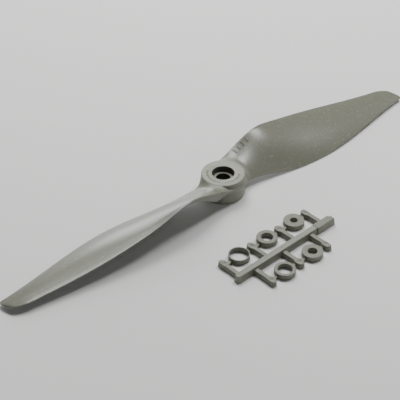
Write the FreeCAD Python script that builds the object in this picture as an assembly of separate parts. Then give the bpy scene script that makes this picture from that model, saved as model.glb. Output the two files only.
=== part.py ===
"""Two-bladed nylon propeller, 9 in diameter by 6 in pitch, and its tree of shaft adapter rings.

Millimetres. The origin is on the shaft bore's axis at the hub's back face, +Z runs forward along
that axis (the way the propeller pulls) and +X runs along blade A. The propeller rests on the hub's
back face, and the ring tree lies beside it on the same plane, z = 0.
Each function returns the solids of one sub-part, and main() writes one STEP file per node.
"""
import FreeCAD
import Part
import math
import os

Vec = FreeCAD.Vector
Z_AXIS = Vec(0, 0, 1)

# ---- propeller: driving dimensions ----
TIP_RADIUS = 114.7
PITCH = 152.4
HUB_RADIUS = 9.63
HUB_HEIGHT = 10.2
HUB_EDGE_ROUND = 0.4
HUB_BACK_CHAMFER = 0.35
UPPER_FILLET = 0.85          # where the hub's side meets the top of the root moulding
LOWER_FILLET = 0.6           # and its underside
SHAFT_BORE_RADIUS = 3.175
SEAT_DEPTH = 2.6
SEAT_LEAD_RADIUS = 4.93       # the seat's mouth, which funnels the ring in
SEAT_LEAD_DEPTH = 1.1
ROOT_PLANE = 12.0            # where each blade ends and the hub moulding starts

# Root stations: radius, leading edge y and top z, trailing edge y and z. The blades share one
# strip that passes through the hub, so at radius 0 it is the same on both sides.
ROOT_STATIONS = (
    (0.0, 10.2, 7.45, -10.2, 6.95),
    (3.0, 10.0, 7.65, -9.9, 6.45),
    (6.0, 9.8, 8.35, -8.3, 5.2),
    (9.0, 9.7, 9.4, -6.3, 4.15),
    (12.0, 9.85, 10.55, -5.65, 3.65),
    (15.0, 10.05, 11.75, -5.85, 3.45),
    (18.0, 10.25, 12.95, -6.3, 3.2),
    (22.0, 10.4, 14.35, -7.2, 2.45),
    (26.0, 10.45, 15.35, -8.2, 1.7),
    (31.0, 10.5, 15.6, -9.5, 0.95),
)
# Blade stations: radius, leading edge y, trailing edge y and z. The pitch gives the leading z.
BLADE_STATIONS = (
    (37.0, 10.65, -10.95, 0.5),
    (44.0, 10.85, -12.1, 0.45),
    (52.0, 10.75, -12.8, 0.6),
    (61.0, 10.25, -12.8, 0.85),
    (71.0, 9.3, -12.05, 1.05),
    (81.0, 8.0, -10.75, 1.2),
    (90.0, 6.65, -9.4, 1.3),
    (98.0, 5.35, -8.2, 1.4),
    (104.0, 4.4, -7.4, 1.45),
    (108.5, 3.45, -6.9, 1.5),
    (111.5, 2.0, -6.65, 1.5),
    (113.4, 0.1, -6.5, 1.5),
    (TIP_RADIUS, -3.4, -6.1, 1.5),
)
# Radius against most thickness, nose height, nose rounding, trailing edge height, camber share.
THICKNESS = (
    (0.0, 2.6, 0.95, 0.5, 0.95, 0.05),
    (3.0, 2.8, 0.9, 0.5, 0.9, 0.05),
    (6.0, 3.6, 1.2, 0.5, 0.9, 0.055),
    (9.0, 4.5, 2.7, 0.6, 0.9, 0.055),
    (12.0, 4.9, 4.2, 0.65, 0.9, 0.05),
    (18.0, 4.0, 3.2, 0.7, 0.75, 0.02),
    (26.0, 3.1, 1.6, 1.0, 0.6, 0.005),
    (37.0, 2.6, 0.95, 1.9, 0.45, 0.015),
    (52.0, 2.4, 0.95, 2.2, 0.45, 0.025),
    (71.0, 2.05, 0.8, 2.0, 0.45, 0.03),
    (90.0, 1.65, 0.65, 1.5, 0.4, 0.03),
    (104.0, 1.25, 0.5, 1.0, 0.4, 0.03),
    (TIP_RADIUS, 0.7, 0.4, 0.6, 0.35, 0.02),
)
VERTICAL_TO = 15.0           # inside this radius the nose stands upright, like the hub's side
SQUARE_FROM = 37.0           # outside this radius the sections are square to their chord
SECTION_POINTS = 18          # along each side of a section

# ---- adapter rings and their tree: driving dimensions ----
RING_RADIUS = 4.5
RING_THICKNESS = 2.4
RING_CHAMFER = 0.2
SEAT_CLEARANCE = 0.02        # radial, between a ring and its seat in the hub
RING_PITCH = 16.2
ROW_FAR_Y = -37.0
ROW_NEAR_Y = -56.1
FAR_ROW_X = -26.5
NEAR_ROW_X = -19.45
# Node name, bore diameter, row and place along the row.
RINGS = (
    ("adapter_ring_8mm", 8.0, "far", 0),
    ("adapter_ring_5mm", 5.0, "far", 1),
    ("adapter_ring_3_2mm", 3.2, "far", 2),
    ("adapter_ring_6mm", 6.0, "near", 0),
    ("adapter_ring_4mm", 4.0, "near", 1),
)
RUNNER_Y = -46.8
RUNNER_TOP_WIDTH = 2.7
RUNNER_BASE_WIDTH = 3.5
RUNNER_HEIGHT = 3.3
RUNNER_START_X = -36.4
RUNNER_END_X = 8.2
STUB_LENGTH = 10.6           # thicker feed at the runner's open end, where it was cut off
STUB_Y = -47.0
STUB_TOP_WIDTH = 3.3
STUB_BASE_WIDTH = 4.0
STUB_HEIGHT = 3.5
STUB_CUT_DEGREES = 8
ARM_HEIGHT = 2.4
ARM_TOP_WIDTH = 1.95
ARM_BASE_WIDTH = 2.3
ARM_SHIFT = -0.55            # of every arm from the middle between its rings
LUG_SHIFT = {"far": 0.15, "near": 0.65}  # of a lug's middle past its row of rings
LUG_HALF_WIDTH = 1.75        # on a side where there is a ring
LUG_PLAIN_HALF_WIDTH = 1.3
LUG_TIP_HALF_WIDTH = 1.0
LUG_TOP_SCALE = 0.88         # of a lug's top outline against its base
LUG_DIMPLE_RADIUS = 0.8
LUG_DIMPLE_DEPTH = 0.25
GATE_GAP = 0.12              # thinned web between a gate and its ring, left open in this model
GATE_WIDTH = 0.9
GATE_HEIGHT = 1.1
GATE_Z = 0.5


# ---------------------------------------------------------------- propeller moulding
def stations(nearest):
    """Stations from a radius outwards: radius, leading y and top z, trailing y and z."""
    outer = []
    for radius, lead_y, trail_y, trail_z in BLADE_STATIONS:
        rise = (lead_y - trail_y) * PITCH / (2 * math.pi * radius)
        outer.append((radius, lead_y, trail_z + rise, trail_y, trail_z))
    return [s for s in ROOT_STATIONS if s[0] >= nearest] + outer


def at_radius(radius):
    """The thickness table's figures at a radius, in proportion between its rows."""
    for low, high in zip(THICKNESS, THICKNESS[1:]):
        if radius <= high[0]:
            share = (radius - low[0]) / (high[0] - low[0])
            return [a + (b - a) * share for a, b in zip(low[1:], high[1:])]
    return list(THICKNESS[-1][1:])


def cap(distance, length):
    """Rounding factor of a section's end: 0 at the very edge, 1 once past the rounding."""
    return math.sqrt(1 - (1 - min(1.0, distance / length)) ** 3)


def section_wire(station, side=1):
    """Closed section in the plane x = side * radius, as an upper and a lower spline.

    side is 1 for blade A and -1 for blade B, which is blade A turned half a turn about Z.
    """
    radius, lead_y, lead_z, trail_y, trail_z = station
    thick, nose, nose_round, tail, camber = at_radius(radius)
    lead_top, trail = Vec(0, lead_y, lead_z), Vec(0, trail_y, trail_z)
    slope = lead_top - trail
    square = Vec(0, -slope.z, slope.y).normalize()
    upright = min(1.0, max(0.0, (SQUARE_FROM - radius) / (SQUARE_FROM - VERTICAL_TO)))
    outward = (square * (1 - upright) + Z_AXIS * upright).normalize()
    lead = lead_top - outward * nose / 2
    chord = lead - trail
    length = chord.Length
    belly = (thick / 2 - 0.18 * nose - 0.08 * tail) / 0.48
    upper, lower, knots = [], [], []
    for step in range(SECTION_POINTS + 1):
        turn = step / SECTION_POINTS
        back = ((1 + math.cos(math.pi * turn)) / 2) ** 1.25
        plain = nose / 2 * (1 - back) ** 2 + 2 * back * (1 - back) * belly + tail / 2 * back**2
        half = plain * cap(back * length, nose_round) * cap((1 - back) * length, tail / 2)
        bow = 4 * camber * back * (1 - back) * length
        middle = lead - chord * back
        upper.append(middle + outward * (bow + half))
        lower.append(middle + outward * (bow - half))
        knots.append(turn)
    if side < 0:
        upper, lower = upper[::-1], lower[::-1]
    place = lambda point: Vec(side * radius, side * point.y, point.z)
    edges = []
    for points in (upper, lower[::-1]):
        curve = Part.BSplineCurve()
        curve.interpolate(Points=[place(point) for point in points], Parameters=knots)
        edges.append(curve.toShape())
    return Part.Wire(edges)


def strip():
    """The twisted strip that runs from tip to tip through the hub."""
    half = stations(0)
    wires = [section_wire(s, -1) for s in half[:0:-1]] + [section_wire(s) for s in half]
    return Part.makeLoft(wires, True, False)


def beyond_root():
    """Block that holds everything outside blade A's root plane."""
    return Part.makeBox(TIP_RADIUS, 80, 80, Vec(ROOT_PLANE, -40, -40))


def blade(whole_strip):
    """Blade A, from the root plane to the tip, without the hub."""
    return whole_strip.common(beyond_root())


def turned(radius_and_height, solid=True):
    """Solid of revolution about Z from a closed outline of (radius, height) pairs."""
    points = [Vec(r, 0, z) for r, z in radius_and_height]
    outline = Part.makePolygon(points + points[:1])
    return Part.Face(outline).revolve(Vec(0, 0, 0), Z_AXIS, 360)


def on_hub_side(edge):
    """Whether an edge runs on the hub's side wall, away from its two rims."""
    middle = edge.valueAt((edge.FirstParameter + edge.LastParameter) / 2)
    on_wall = abs(math.hypot(middle.x, middle.y) - HUB_RADIUS) < 0.02
    box = edge.BoundBox
    curved = not isinstance(edge.Curve, (Part.Line, Part.Circle))
    return on_wall and curved and box.ZMin > 0.1 and box.ZMax < HUB_HEIGHT - 0.1


def hub(whole_strip):
    """Hub boss with the root moulding that both blades grow from, bored and counterbored."""
    boss = Part.makeCylinder(HUB_RADIUS, HUB_HEIGHT)
    rims = [e for e in boss.Edges if isinstance(e.Curve, Part.Circle)]
    boss = boss.makeFillet(HUB_EDGE_ROUND, [e for e in rims if e.Curve.Center.z > HUB_HEIGHT / 2])
    rims = [e for e in boss.Edges if isinstance(e.Curve, Part.Circle)]
    boss = boss.makeChamfer(HUB_BACK_CHAMFER, [e for e in rims if e.Curve.Center.z < 0.01])
    middle = Part.makeBox(2 * ROOT_PLANE, 80, 80, Vec(-ROOT_PLANE, -40, -40))
    body = boss.fuse(whole_strip.common(middle))
    upper = [e for e in body.Edges if on_hub_side(e) and e.BoundBox.ZMax > HUB_HEIGHT * 0.7]
    body = body.makeFillet(UPPER_FILLET, upper)
    lower = [e for e in body.Edges if on_hub_side(e) and e.BoundBox.ZMax <= HUB_HEIGHT * 0.7]
    body = body.makeFillet(LOWER_FILLET, lower)
    seat_radius = RING_RADIUS + SEAT_CLEARANCE
    seat_floor = HUB_HEIGHT - SEAT_DEPTH
    bore = turned((
        (0, -1),
        (SHAFT_BORE_RADIUS, -1),
        (SHAFT_BORE_RADIUS, seat_floor),
        (seat_radius, seat_floor),
        (seat_radius, HUB_HEIGHT - SEAT_LEAD_DEPTH),
        (SEAT_LEAD_RADIUS, HUB_HEIGHT),
        (SEAT_LEAD_RADIUS, HUB_HEIGHT + 1),
        (0, HUB_HEIGHT + 1),
    ))
    return body.cut(bore)


# ---------------------------------------------------------------- ring tree
def ring_centre(row, place):
    """Centre of a ring on the tree, at its base."""
    if row == "far":
        return Vec(FAR_ROW_X + place * RING_PITCH, ROW_FAR_Y, 0)
    return Vec(NEAR_ROW_X + place * RING_PITCH, ROW_NEAR_Y, 0)


def adapter_ring(bore, centre):
    """Flat ring with chamfered rims that centres a shaft in the hub's seat."""
    inner, outer, cut, top = bore / 2, RING_RADIUS, RING_CHAMFER, RING_THICKNESS
    ring = turned((
        (inner, cut),
        (inner + cut, 0),
        (outer - cut, 0),
        (outer, cut),
        (outer, top - cut),
        (outer - cut, top),
        (inner + cut, top),
        (inner, top - cut),
    ))
    ring.translate(centre)
    return ring


def tapered_bar(start, end, base_width, top_width, height):
    """Bar along a horizontal line, with drafted sides."""
    along = (end - start).normalize()
    across = Vec(-along.y, along.x, 0)
    corners = [
        start - across * base_width / 2,
        start + across * base_width / 2,
        start + across * top_width / 2 + Z_AXIS * height,
        start - across * top_width / 2 + Z_AXIS * height,
    ]
    return Part.Face(Part.makePolygon(corners + corners[:1])).extrude(end - start)


def runner_bar():
    """Main runner that feeds every arm, with a rounded closed end."""
    start, end = Vec(RUNNER_START_X, RUNNER_Y, 0), Vec(RUNNER_END_X, RUNNER_Y, 0)
    bar = tapered_bar(start, end, RUNNER_BASE_WIDTH, RUNNER_TOP_WIDTH, RUNNER_HEIGHT)
    nose = Part.makeCone(RUNNER_BASE_WIDTH / 2, RUNNER_TOP_WIDTH / 2, RUNNER_HEIGHT, start, Z_AXIS)
    return bar.fuse(nose).removeSplitter()


def runner_stub():
    """Feed stub at the runner's open end, with a sloped cut and a broken-off notch in its end."""
    start = Vec(RUNNER_END_X, STUB_Y, 0)
    end = start + Vec(STUB_LENGTH, 0, 0)
    stub = tapered_bar(start, end, STUB_BASE_WIDTH, STUB_TOP_WIDTH, STUB_HEIGHT)
    waste = Part.makeBox(4, 10, 8, Vec(0, -5, -2))
    waste.rotate(Vec(0, 0, 0), Vec(0, 1, 0), -STUB_CUT_DEGREES)
    waste.translate(end)
    notch = Part.makeBox(2, 2, 2, end + Vec(-1.3, 0.5, STUB_HEIGHT - 1.0))
    return stub.cut([waste, notch])


def arm_places():
    """Name, x and row of each arm. Arms stand between neighbouring rings and outside the end ones."""
    far = [FAR_ROW_X + (n - 0.5) * RING_PITCH + ARM_SHIFT for n in range(4)]
    near = [NEAR_ROW_X + (n - 0.5) * RING_PITCH + ARM_SHIFT for n in range(3)]
    return [(f"far_arm_{n + 1}", x, "far") for n, x in enumerate(far)] + [
        (f"near_arm_{n + 1}", x, "near") for n, x in enumerate(near)
    ]


def drafted_prism(outline, shrink, height):
    """Prism on z = 0 whose flat sides lean in, because its top is the base scaled down."""
    middle = sum(outline, Vec(0, 0, 0)) / len(outline)
    top = [middle + (point - middle) * shrink + Z_AXIS * height for point in outline]
    rings = list(zip(outline, outline[1:] + outline[:1], top[1:] + top[:1], top))
    loops = [outline, top] + [list(ring) for ring in rings]
    faces = [Part.Face(Part.makePolygon(loop + loop[:1])) for loop in loops]
    return Part.makeSolid(Part.makeShell(faces))


def lug_half_width(x, row, side):
    """Half width of the lug at x on one side. It swells only towards a ring."""
    rings = [ring_centre(ring_row, place).x for _, _, ring_row, place in RINGS if ring_row == row]
    beside_ring = any(0 < (ring - x) * side < RING_PITCH for ring in rings)
    return LUG_HALF_WIDTH if beside_ring else LUG_PLAIN_HALF_WIDTH


def lug_edge(x, row, side):
    """Outline of one side of a lug, as distances across and along the arm."""
    wide, tip = lug_half_width(x, row, side), LUG_TIP_HALF_WIDTH
    half = [(1.1, -2.4), (wide, -0.9), (wide, 0.8), (tip, 2.3), (tip * 0.5, 2.7)]
    return [(side * u, v) for u, v in half]


def arm(x, row):
    """Side arm with the ejector lug at its end that the rings' gates start from."""
    way = 1 if row == "far" else -1
    lug_y = (ROW_FAR_Y if row == "far" else ROW_NEAR_Y) + way * LUG_SHIFT[row]
    root = Vec(x, RUNNER_Y, 0)
    lug = Vec(x, lug_y, 0)
    bar = tapered_bar(root, lug, ARM_BASE_WIDTH, ARM_TOP_WIDTH, ARM_HEIGHT)
    around = lug_edge(x, row, 1) + lug_edge(x, row, -1)[::-1]
    outline = [lug + Vec(u, way * v, 0) for u, v in around]
    whole = bar.fuse(drafted_prism(outline, LUG_TOP_SCALE, ARM_HEIGHT)).removeSplitter()
    dimple = Part.makeCylinder(LUG_DIMPLE_RADIUS, 2, lug + Vec(0, 0, ARM_HEIGHT - LUG_DIMPLE_DEPTH))
    return whole.cut([dimple, runner_bar(), runner_stub()])


def gate_pair(row, place):
    """The two short gates that hold one ring between its neighbouring lugs."""
    centre = ring_centre(row, place)
    gates = []
    for way in (-1, 1):
        inner = centre + Vec(way * (RING_RADIUS + GATE_GAP), 0, GATE_Z)
        outer = centre + Vec(way * RING_PITCH / 2 + ARM_SHIFT, 0, GATE_Z)
        bar = tapered_bar(inner, outer, GATE_WIDTH, GATE_WIDTH * 0.8, GATE_HEIGHT)
        gates.append(bar.cut(arm(outer.x, row)))
    return Part.makeCompound([solid for gate in gates for solid in gate.Solids])


# ---------------------------------------------------------------- nodes
def nodes():
    """Every node's name and shape."""
    whole_strip = strip()
    blade_a = blade(whole_strip)
    blade_b = blade_a.copy()
    blade_b.rotate(Vec(0, 0, 0), Z_AXIS, 180)
    made = {"hub": hub(whole_strip), "blade_a": blade_a, "blade_b": blade_b}
    for name, bore, row, place in RINGS:
        made[name] = adapter_ring(bore, ring_centre(row, place))
        made[name.replace("adapter_ring", "ring_gates")] = gate_pair(row, place)
    made["runner_bar"] = runner_bar()
    made["runner_stub"] = runner_stub()
    for name, x, row in arm_places():
        made[name] = arm(x, row)
    return made


def main():
    """Writes one STEP file per node and prints its volume and box."""
    os.makedirs("parts", exist_ok=True)
    for name, shape in nodes().items():
        shape.exportStep(f"parts/{name}.step")
        box = shape.BoundBox
        ends = (box.XMin, box.XMax, box.YMin, box.YMax, box.ZMin, box.ZMax)
        print(f"{name:20s} solids {len(shape.Solids)} valid {shape.isValid()}", end=" ")
        print(f"volume {shape.Volume:8.2f} box", *(f"{end:7.2f}" for end in ends))


main()
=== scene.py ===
"""Looks for a moulded nylon propeller and its tree of shaft adapter rings, around the CAD frame.

Lengths in the classes are millimetres unless a name says metres, and every mesh is made in metres
in the CAD frame: origin on the shaft bore's axis at the hub's back face, +Z forwards, +X along
blade A. The hub and both blades are one moulding, so one mesh stands for their three CAD nodes.
"""
import logging
import math
from dataclasses import dataclass, field
from enum import Enum
from typing import Iterable, Optional, Sequence, Union

import bmesh
import bpy
from mathutils import Matrix, Vector
from mathutils.bvhtree import BVHTree


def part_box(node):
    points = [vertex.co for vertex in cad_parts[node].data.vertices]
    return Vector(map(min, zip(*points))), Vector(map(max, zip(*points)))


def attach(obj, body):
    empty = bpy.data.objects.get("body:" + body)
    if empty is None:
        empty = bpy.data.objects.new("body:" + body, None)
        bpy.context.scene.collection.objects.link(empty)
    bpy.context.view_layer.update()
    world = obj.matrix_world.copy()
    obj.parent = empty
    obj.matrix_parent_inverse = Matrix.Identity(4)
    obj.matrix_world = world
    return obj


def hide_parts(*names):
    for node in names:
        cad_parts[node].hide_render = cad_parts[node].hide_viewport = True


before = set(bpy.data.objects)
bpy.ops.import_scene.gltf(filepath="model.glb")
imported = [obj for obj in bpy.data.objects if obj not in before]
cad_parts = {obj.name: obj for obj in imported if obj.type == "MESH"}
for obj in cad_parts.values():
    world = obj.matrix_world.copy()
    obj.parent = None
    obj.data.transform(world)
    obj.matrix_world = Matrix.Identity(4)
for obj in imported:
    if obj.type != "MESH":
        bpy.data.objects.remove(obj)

log = logging.getLogger("propeller")
MM = 0.001
Pair = tuple[float, float]
Triple = tuple[float, float, float]
Colour = Triple
Outline = list[Pair]
Tree = bpy.types.NodeTree
Socket = bpy.types.NodeSocket
Value = Union[Socket, float]
HUB_NODES = ("hub", "blade_a", "blade_b")
BEVEL_STEPS = 3
BASE_SLACK_M = 1e-7
RAY_START_M = 0.05


# ------------------------------------------------------------------ small shape tools
def held(value: float) -> float:
    """Value held between 0 and 1."""
    return min(1.0, max(0.0, value))


def eased(value: float) -> float:
    """Smooth step from 0 to 1, with the value held between them."""
    share = held(value)
    return share * share * (3 - 2 * share)


class Curve:
    """Natural cubic spline through knots, for a value that changes along the blade."""

    def __init__(self, knots: Sequence[float], values: Sequence[float]) -> None:
        """Solves the spline.

        Args:
            knots: Increasing positions.
            values: The value at each position.
        """
        self.knots = list(knots)
        self.values = list(values)
        n = len(self.knots)
        step = [self.knots[i + 1] - self.knots[i] for i in range(n - 1)]
        slope = [(self.values[i + 1] - self.values[i]) / step[i] for i in range(n - 1)]
        self.bend = [0.0] * n
        upper, right = [0.0] * n, [0.0] * n
        for i in range(1, n - 1):
            pivot = 2 * (step[i - 1] + step[i]) - step[i - 1] * upper[i - 1]
            upper[i] = step[i] / pivot
            right[i] = (6 * (slope[i] - slope[i - 1]) - step[i - 1] * right[i - 1]) / pivot
        for i in range(n - 2, 0, -1):
            self.bend[i] = right[i] - upper[i] * self.bend[i + 1]

    def at(self, x: float) -> float:
        """Evaluates the spline.

        Args:
            x: Position, held inside the knots' range.

        Returns:
            The value there.
        """
        x = min(self.knots[-1], max(self.knots[0], x))
        i = 0
        while i < len(self.knots) - 2 and x > self.knots[i + 1]:
            i += 1
        width = self.knots[i + 1] - self.knots[i]
        a, b = (self.knots[i + 1] - x) / width, (x - self.knots[i]) / width
        curve = (a**3 - a) * self.bend[i] + (b**3 - b) * self.bend[i + 1]
        return a * self.values[i] + b * self.values[i + 1] + curve * width * width / 6


def arc(centre: Pair, radius: float, start: float, end: float, steps: int = 6) -> Outline:
    """Points along a circular arc.

    Args:
        centre: Centre of the arc.
        radius: Its radius.
        start: First angle in degrees.
        end: Last angle in degrees.
        steps: Number of chords.

    Returns:
        The points, both ends included.
    """
    points = []
    for step in range(steps + 1):
        angle = math.radians(start + (end - start) * step / steps)
        points.append((centre[0] + radius * math.cos(angle), centre[1] + radius * math.sin(angle)))
    return points


def lathe(
    name: str, profile: Outline, segments: int, centre: Pair = (0.0, 0.0)
) -> bpy.types.Object:
    """Closed mesh turned about a vertical axis.

    Args:
        name: Name of the new object.
        profile: Closed outline of (radius, height), counterclockwise in that plane. A radius of
            0 makes a point on the axis.
        segments: Number of steps round the axis.
        centre: Where the axis stands.

    Returns:
        The new object.
    """
    bm = bmesh.new()
    rings = []
    for radius, height in profile:
        if radius <= 0:
            rings.append([bm.verts.new((centre[0] * MM, centre[1] * MM, height * MM))])
            continue
        ring = []
        for step in range(segments):
            angle = 2 * math.pi * step / segments
            x, y = centre[0] + radius * math.cos(angle), centre[1] + radius * math.sin(angle)
            ring.append(bm.verts.new((x * MM, y * MM, height * MM)))
        rings.append(ring)
    for low, high in zip(rings, rings[1:] + rings[:1]):
        for step in range(segments):
            after = (step + 1) % segments
            corners = [low[step % len(low)], low[after % len(low)]]
            corners += [high[after % len(high)], high[step % len(high)]]
            loop = [v for i, v in enumerate(corners) if v not in corners[:i]]
            if len(loop) > 2:
                bm.faces.new(loop)
    return finish_mesh(name, bm)


def finish_mesh(name: str, bm: bmesh.types.BMesh) -> bpy.types.Object:
    """Turns a bmesh into a linked object with outward normals.

    Args:
        name: Name of the new object.
        bm: The mesh, freed here.

    Returns:
        The new object.
    """
    bmesh.ops.recalc_face_normals(bm, faces=bm.faces)
    mesh = bpy.data.meshes.new(name)
    bm.to_mesh(mesh)
    bm.free()
    made = bpy.data.objects.new(name, mesh)
    bpy.context.scene.collection.objects.link(made)
    return made


def shade(obj: bpy.types.Object, degrees: float = 32.0) -> None:
    """Smooth shading with creases kept sharp.

    Args:
        obj: Mesh object.
        degrees: Edges that turn by more than this stay sharp.
    """
    for face in obj.data.polygons:
        face.use_smooth = True
    obj.data.set_sharp_from_angle(angle=math.radians(degrees))


def apply_modifiers(obj: bpy.types.Object) -> None:
    """Bakes an object's modifiers into its mesh.

    Args:
        obj: The object, left with no modifiers.
    """
    graph = bpy.context.evaluated_depsgraph_get()
    baked = bpy.data.meshes.new_from_object(obj.evaluated_get(graph))
    obj.modifiers.clear()
    obj.data = baked


class Cut(Enum):
    """How a tool solid is combined with a body."""

    JOIN = "UNION"
    REMOVE = "DIFFERENCE"


def combine(body: bpy.types.Object, tools: Iterable[bpy.types.Object], how: Cut) -> None:
    """Exact boolean of a body with several tools, which are used up.

    Args:
        body: Object that is changed.
        tools: Objects that are joined on or cut away.
        how: Which of the two.
    """
    tools = list(tools)
    for tool in tools:
        modifier = body.modifiers.new("combine", "BOOLEAN")
        modifier.operation = how.value
        modifier.solver = "EXACT"
        modifier.object = tool
    apply_modifiers(body)
    for tool in tools:
        bpy.data.objects.remove(tool, do_unlink=True)


def drafted_block(
    name: str, base: Outline, top: Outline, low: float, high: float, rounding: float
) -> bpy.types.Object:
    """Block between two outlines with its top and upright edges rounded.

    Args:
        name: Name of the new object.
        base: Outline at the bottom.
        top: Outline at the top, with as many points.
        low: Height of the bottom.
        high: Height of the top.
        rounding: Radius of the rounded edges.

    Returns:
        The new object.
    """
    bm = bmesh.new()
    rings = [
        [bm.verts.new((x * MM, y * MM, z * MM)) for x, y in ring]
        for ring, z in ((base, low), (top, high))
    ]
    bm.faces.new(rings[0][::-1])
    bm.faces.new(rings[1])
    count = len(base)
    for i in range(count):
        j = (i + 1) % count
        bm.faces.new((rings[0][i], rings[0][j], rings[1][j], rings[1][i]))
    bmesh.ops.recalc_face_normals(bm, faces=bm.faces)
    bmesh.ops.bevel(
        bm,
        geom=[e for e in bm.edges if not all(v.co.z < low * MM + BASE_SLACK_M for v in e.verts)],
        offset=rounding * MM,
        offset_type="OFFSET",
        segments=BEVEL_STEPS,
        profile=0.5,
        affect="EDGES",
        clamp_overlap=True,
    )
    return finish_mesh(name, bm)


# ------------------------------------------------------------------ surface effects
class Effects:
    """Shared shader groups: tone, flecks, grain, worn edges, smoother skin and painted shade in the
    bore.
    """

    CLOUD_STRETCH: Triple = (0.45, 1.0, 1.0)
    CLOUD_SHARES: Pair = (0.7, 0.3)
    FINE_CLOUDS: float = 7.0
    CLOUD_START: float = 0.32
    CLOUD_GAIN: float = 2.6
    FIBRE_STRETCH: Triple = (0.28, 1.0, 1.0)
    FLECK_LIMIT: float = 0.72
    FLECK_DROP: float = 0.16
    FLECK_GAIN: float = 9.0
    COARSE_GRAIN: float = 0.22
    GRAIN_SHARES: Pair = (0.6, 0.4)
    WEAR_GAIN: float = 9.0
    WEAR_PATCHES: float = 1.5
    BORE_GAIN: float = 9000.0
    LEDGE_BAND_M: float = 0.00004
    BACK_BAND_M: float = 0.0003
    BORE_SHADE_PATCHES: float = 0.4
    BORE_SHADE_LEAST: float = 0.72

    def __init__(self) -> None:
        """Builds every group once."""
        self.tone = self._tone()
        self.flecks = self._flecks()
        self.grain = self._grain()
        self.edges = self._edges()
        self.skin = self._skin()
        # The bore group is a mask for shade painted on the bore and seat walls.
        self.bore = self._bore_shade()

    @staticmethod
    def _start(
        name: str, inputs: Sequence[tuple[str, float]], output: str
    ) -> tuple[Tree, bpy.types.Node, bpy.types.Node]:
        """Opens a group with a vector input, some float inputs and one float output.

        Args:
            name: Group name.
            inputs: Names and defaults of the float inputs.
            output: Name of the float output.

        Returns:
            The group, its input node and its output node.
        """
        group = bpy.data.node_groups.new(name, "ShaderNodeTree")
        face = group.interface
        face.new_socket("Vector", in_out="INPUT", socket_type="NodeSocketVector")
        for label, value in inputs:
            socket = face.new_socket(label, in_out="INPUT", socket_type="NodeSocketFloat")
            socket.default_value = value
        face.new_socket(output, in_out="OUTPUT", socket_type="NodeSocketFloat")
        return group, group.nodes.new("NodeGroupInput"), group.nodes.new("NodeGroupOutput")

    @staticmethod
    def _math(
        group: Tree, kind: str, first: Value, second: Optional[Value] = None, clamp: bool = False
    ) -> Socket:
        """Adds a math node to a group.

        Args:
            group: Node tree.
            kind: Math operation.
            first: Socket or number.
            second: Socket or number, if the operation takes two.
            clamp: Whether the result is held between 0 and 1.

        Returns:
            The result socket.
        """
        node = group.nodes.new("ShaderNodeMath")
        node.operation = kind
        node.use_clamp = clamp
        for i, value in enumerate((first, second)):
            if value is None:
                continue
            if isinstance(value, (int, float)):
                node.inputs[i].default_value = value
            else:
                group.links.new(value, node.inputs[i])
        return node.outputs[0]

    @classmethod
    def _ramp(cls, group: Tree, value: Value, start: Value, gain: float) -> Socket:
        """Rises from 0 at a start value, and is held at 1.

        Args:
            group: Node tree.
            value: Socket or number that is looked at.
            start: Where the rise starts.
            gain: Rise per unit of the value.

        Returns:
            The result socket.
        """
        over = cls._math(group, "SUBTRACT", value, start)
        return cls._math(group, "MULTIPLY", over, gain, clamp=True)

    @classmethod
    def _sum(cls, group: Tree, first: Socket, second: Socket, shares: Pair) -> Socket:
        """Adds two values with a share of each.

        Args:
            group: Node tree.
            first: First value.
            second: Second value.
            shares: Share of the first and of the second.

        Returns:
            The result socket.
        """
        parts = [
            cls._math(group, "MULTIPLY", value, share)
            for value, share in zip((first, second), shares)
        ]
        return cls._math(group, "ADD", *parts)

    @staticmethod
    def _stretched(group: Tree, vector: Socket, factors: Triple) -> Socket:
        """Multiplies a position by a factor on each axis.

        Args:
            group: Node tree.
            vector: Socket with the position.
            factors: Factor on x, y and z.

        Returns:
            The result socket.
        """
        node = group.nodes.new("ShaderNodeVectorMath")
        node.operation = "MULTIPLY"
        node.inputs[1].default_value = factors
        group.links.new(vector, node.inputs[0])
        return node.outputs[0]

    @staticmethod
    def _noise(
        group: Tree, vector: Socket, scale: Value, detail: float, rough: float, warp: float = 0.0
    ) -> Socket:
        """Adds a noise texture to a group.

        Args:
            group: Node tree.
            vector: Socket with the position.
            scale: Socket or number.
            detail: Octaves.
            rough: How strong the finer octaves are.
            warp: Distortion.

        Returns:
            The noise value socket.
        """
        node = group.nodes.new("ShaderNodeTexNoise")
        node.inputs["Detail"].default_value = detail
        node.inputs["Roughness"].default_value = rough
        node.inputs["Distortion"].default_value = warp
        group.links.new(vector, node.inputs["Vector"])
        if isinstance(scale, (int, float)):
            node.inputs["Scale"].default_value = scale
        else:
            group.links.new(scale, node.inputs["Scale"])
        return node.outputs["Fac"]

    def _tone(self) -> Tree:
        """Slow, cloudy change of tone, drawn out along the blade.

        Returns:
            The node group, with output Tone from 0 to 1.
        """
        group, start, end = self._start("melt_tone", [("Scale", 60.0)], "Tone")
        place = self._stretched(group, start.outputs["Vector"], self.CLOUD_STRETCH)
        fine_scale = self._math(group, "MULTIPLY", start.outputs["Scale"], self.FINE_CLOUDS)
        broad = self._noise(group, place, start.outputs["Scale"], 3.0, 0.55, 0.6)
        fine = self._noise(group, place, fine_scale, 4.0, 0.6)
        mixed = self._sum(group, broad, fine, self.CLOUD_SHARES)
        spread = self._ramp(group, mixed, self.CLOUD_START, self.CLOUD_GAIN)
        group.links.new(spread, end.inputs["Tone"])
        return group

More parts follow.
